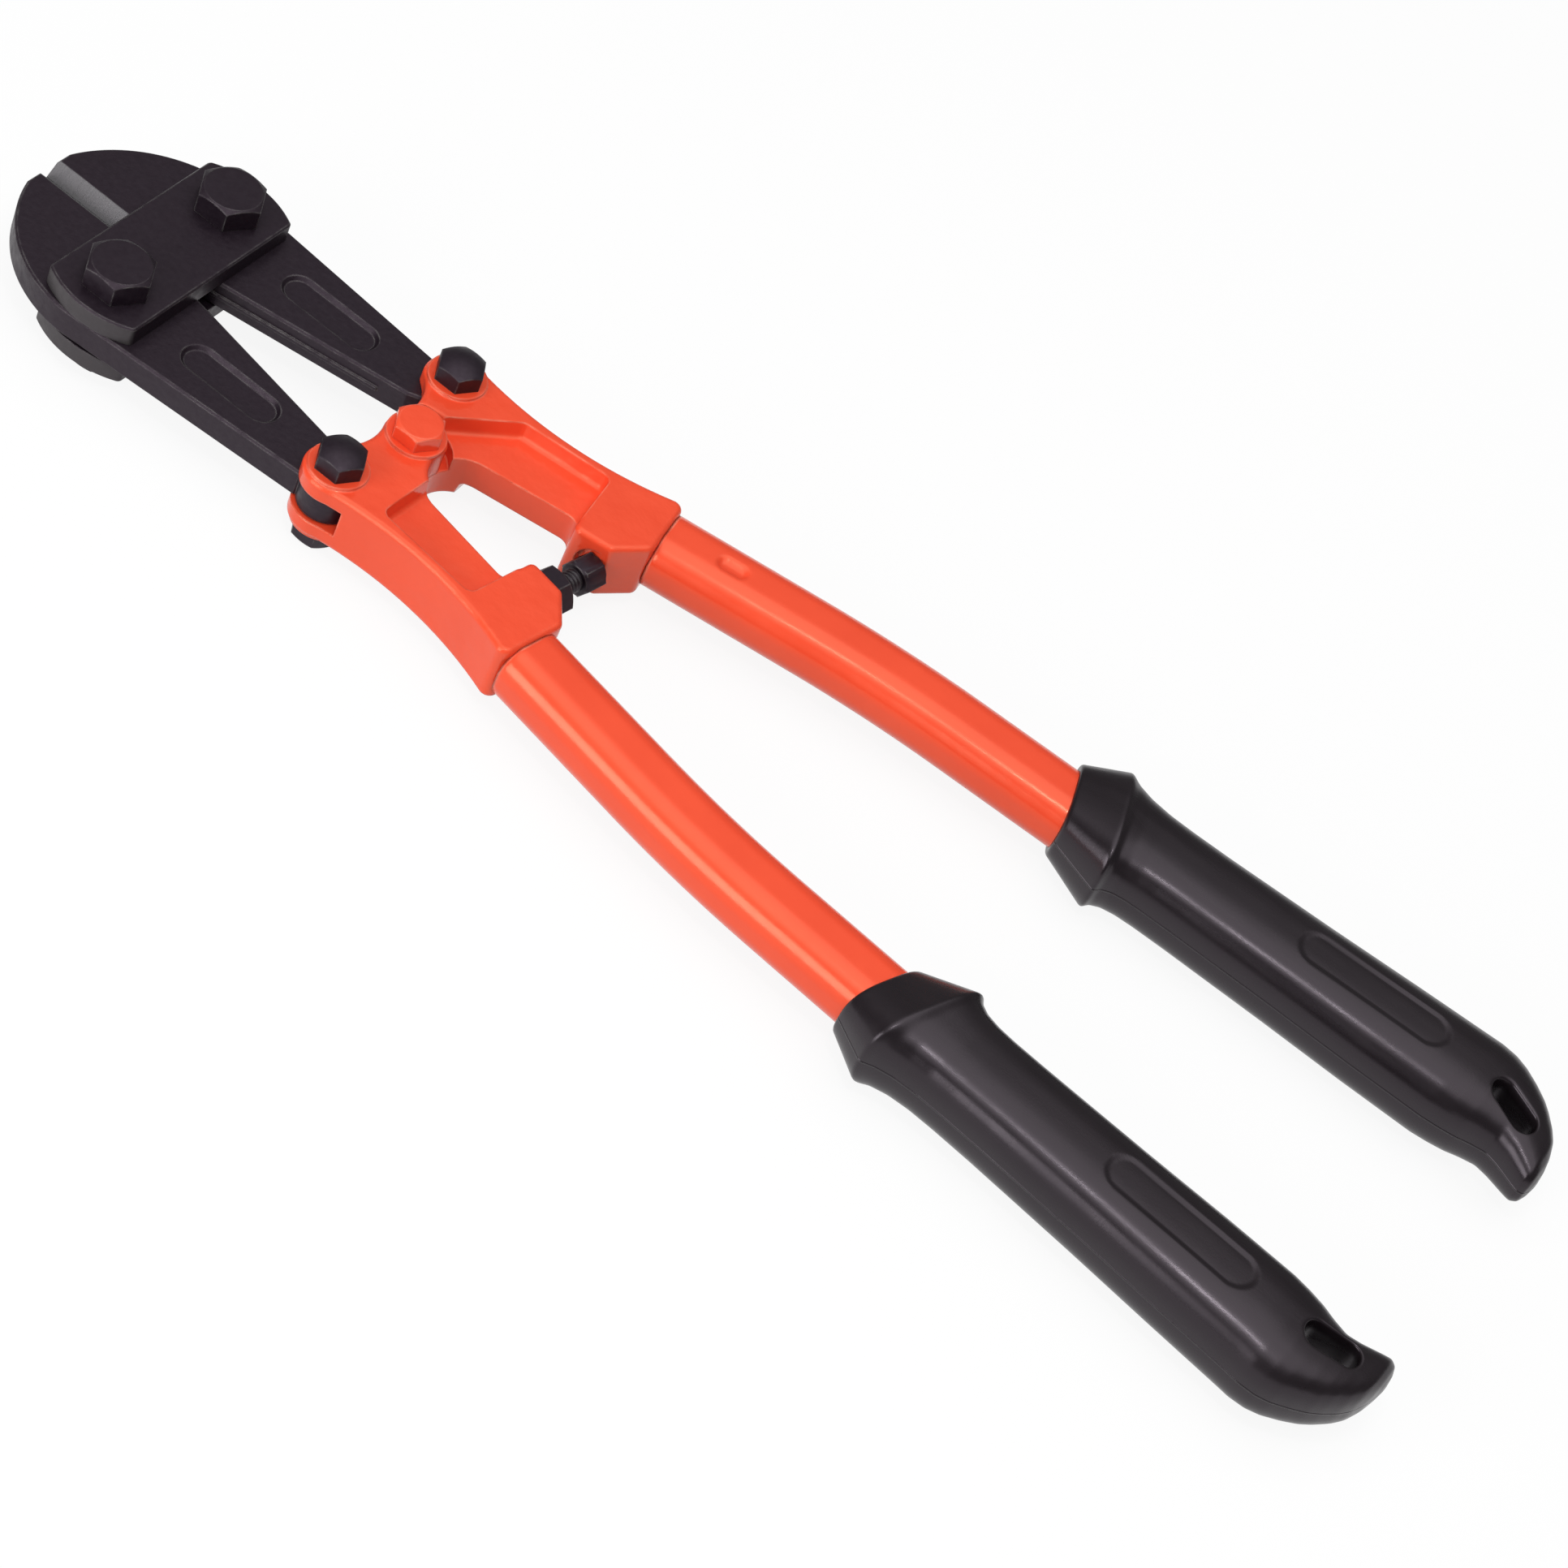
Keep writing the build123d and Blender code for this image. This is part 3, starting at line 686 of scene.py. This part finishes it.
print("slot of", round(2 * slot_half, 1), "mm along X")

# %% [markdown]
# With rows, seams and section known, the grip is four strips, a wall round the slot and two flat closings,
# one inside the collar and one at the tip. The slot's rim is a quarter round, and the panel on top is a
# shallow step.

# %% Both grips
panel_x, panel_half_run, panel_radius, panel_deep, panel_edge = -214.0, 13.0, 4.1, 0.35, 0.6
panel_centre = (panel_x, handle_line(panel_x))
least_half, wall_points = 0.05, 7
MIRROR_DOWN, TO_MIDDLE = np.array([1, 1, -1]), np.array([1, 1, 0])


def sunk(x, plan_x, y):
    """Depth below the plain top: a quarter round at the slot's rim, plus the panel's eased step."""
    rim = np.clip(stadium_gap(plan_x, y, slot_centre, slot_turn, slot_half_run, slot_radius), 0, slot_rim)
    quarter = slot_rim - np.sqrt(np.maximum(slot_rim ** 2 - (slot_rim - rim) ** 2, 0))
    panel = stadium_gap(plan_x, y, panel_centre, -back_turn, panel_half_run, panel_radius)
    return np.where(x < tail_from, quarter, 0) + panel_deep * ease((panel_edge / 2 - panel) / panel_edge)


def grip_tops(power, columns):
    """Both top strips: up = half height * (1 - |across / half width| ** power) ** (1 / power), less sunk."""
    pick = grip_rows()
    x, inwards, outwards, high, slant = (
        np.interp(pick, np.arange(len(rounded)), column)[:, None] for column in rounded.T)
    middle = handle_line(x) + (outwards - inwards) / 2
    half = np.maximum((outwards + inwards) / 2, least_half)
    tops = []
    for sign, seam in zip((-1, 1), seam_lines(x[:, 0], middle[:, 0])):
        y = seam[:, None] + (middle + sign * half - seam[:, None]) * even_shares(columns, power)[None, :]
        offset = np.clip(np.abs(y - middle) / half, 0, 1)
        plan_x = x + np.tan(np.radians(slant)) * (y - middle)
        rise = high * (1 - offset ** power) ** (1 / power) - sunk(x, plan_x, y)
        tops.append(np.stack([plan_x, y, np.maximum(rise, 0)], -1))
    return tops


def grip_sheets(power=2.95, columns=34):
    """Top and bottom strips, slot walls, and the flat closings at the front and at the tip."""
    tops = grip_tops(power, columns)
    strips = [strip for top in tops for strip in (top, top * MIRROR_DOWN)]
    closings = [np.concatenate([end, end * TO_MIDDLE]) for strip in strips for end in (strip[:1], strip[-1:])]
    walls = []
    for top in tops:
        edge = top[:, -1]
        crossing = np.abs(edge[:, 0] - slot_centre[0]) < slot_half + 1e-6
        rim_line = np.repeat(edge[crossing][:, None, :], wall_points, 1)
        rim_line[..., 2] *= np.linspace(1, -1, wall_points)
        walls.append(rim_line)
    return strips + walls + closings


for side in ("left", "right"):
    make_piece(side + "_grip_moulded", grip_sheets(), side, grip_vinyl, side + "_handle",
               side + "_grip", crease=60.0)

# %% [markdown]
# ## Threaded stop
#
# Between the forks sits a bolt that stops the handles and sets how far the jaws close. Its thread shows
# between the lock nut and the head. A screw thread is one profile carried round a helix: the radius at a
# point depends only on its distance along the axis less the share of a pitch that its angle stands for.

# %% Stop bolt with a real thread
stop_root = np.array([-39.9, 7.6, 0.0])
stop_lean = radians(10.0)
stop_axis = np.array([-sin(stop_lean), -cos(stop_lean), 0.0])
stop_side = np.array([cos(stop_lean), -sin(stop_lean), 0.0])
stop_up = np.array([0.0, 0.0, 1.0])
stop_head_from, stop_head_to, stop_head_wide, stop_shank = 10.034, 15.834, 7.0, 13.0
thread_rows, thread_columns, hexagon_columns = 280, 41, 121
flank, crest_flat = 2.4, 0.1
under_cone, top_cone = 0.97, 0.94  # shares of half the width across flats


def about_stop(along, turn, radius):
    """Points round the stop's axis at that distance along it, angle and radius."""
    return (stop_root + along[..., None] * stop_axis + (radius * np.cos(turn))[..., None] * stop_side
            + (radius * np.sin(turn))[..., None] * stop_up)


def thread_sheet(pitch=0.9, outer=2.48, inner=1.98):
    """Radius = inner + (outer - inner) * a flattened triangle wave of (along / pitch - turn / full turn)."""
    along, turn = np.meshgrid(np.linspace(-stop_shank, stop_head_from, thread_rows),
                              np.linspace(0, 2 * pi, thread_columns), indexing="ij")
    phase = (along / pitch - turn / (2 * pi)) % 1.0
    wave = np.clip(flank * np.abs(phase - 0.5) - crest_flat, 0, 1)
    wall = about_stop(along, turn, inner + (outer - inner) * wave)
    start, end = wall[:1], wall[-1:]
    tip, root = start.mean(1, keepdims=True) + 0 * start, end.mean(1, keepdims=True) + 0 * end
    return np.concatenate([tip, wall, root])


def hexagon_sheet(across_flats, low, high, chamfer=0.45):
    """Radius = the smaller of the hexagon's own radius at that angle and a cone that trims its corners."""
    turn = np.linspace(0, 2 * pi, hexagon_columns)
    flat = across_flats / 2
    own = flat / np.cos((turn % (pi / 3)) - pi / 6)
    level = np.array([low, low, low + chamfer, high - chamfer, high, high])[:, None]
    cone = np.array([0.0, flat * under_cone, np.inf, np.inf, flat * top_cone, 0.0])[:, None]
    along = level + 0 * turn
    return about_stop(along, np.broadcast_to(turn, along.shape), np.minimum(own, cone))


stop_sheets = [thread_sheet(), hexagon_sheet(stop_head_wide, stop_head_from, stop_head_to)]
make_piece("adjuster_bolt_threaded", stop_sheets, "left", bolt_black, "adjuster",
           "adjuster_bolt", crease=35.0)

# %% [markdown]
# ## Finishes on the steel nodes
#
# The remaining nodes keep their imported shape, and each gets its finish through its own material slots.

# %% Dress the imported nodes
dressed = {
    jaw_black: ["left_jaw", "right_jaw"],
    plate_black: ["upper_side_plate", "lower_side_plate"],
    forging_red: ["left_fork", "right_fork", "centre_bolt", "centre_nut"],
    bolt_black: ["left_jaw_bolt", "right_jaw_bolt", "left_jaw_nut", "right_jaw_nut", "left_link_bolt",
                 "right_link_bolt", "left_link_nut", "right_link_nut", "adjuster_lock_nut"],
}
for finish, names in dressed.items():
    for name in names:
        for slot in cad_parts[name].material_slots:
            slot.material = finish
print("dressed:", sum(len(names) for names in dressed.values()), "nodes")
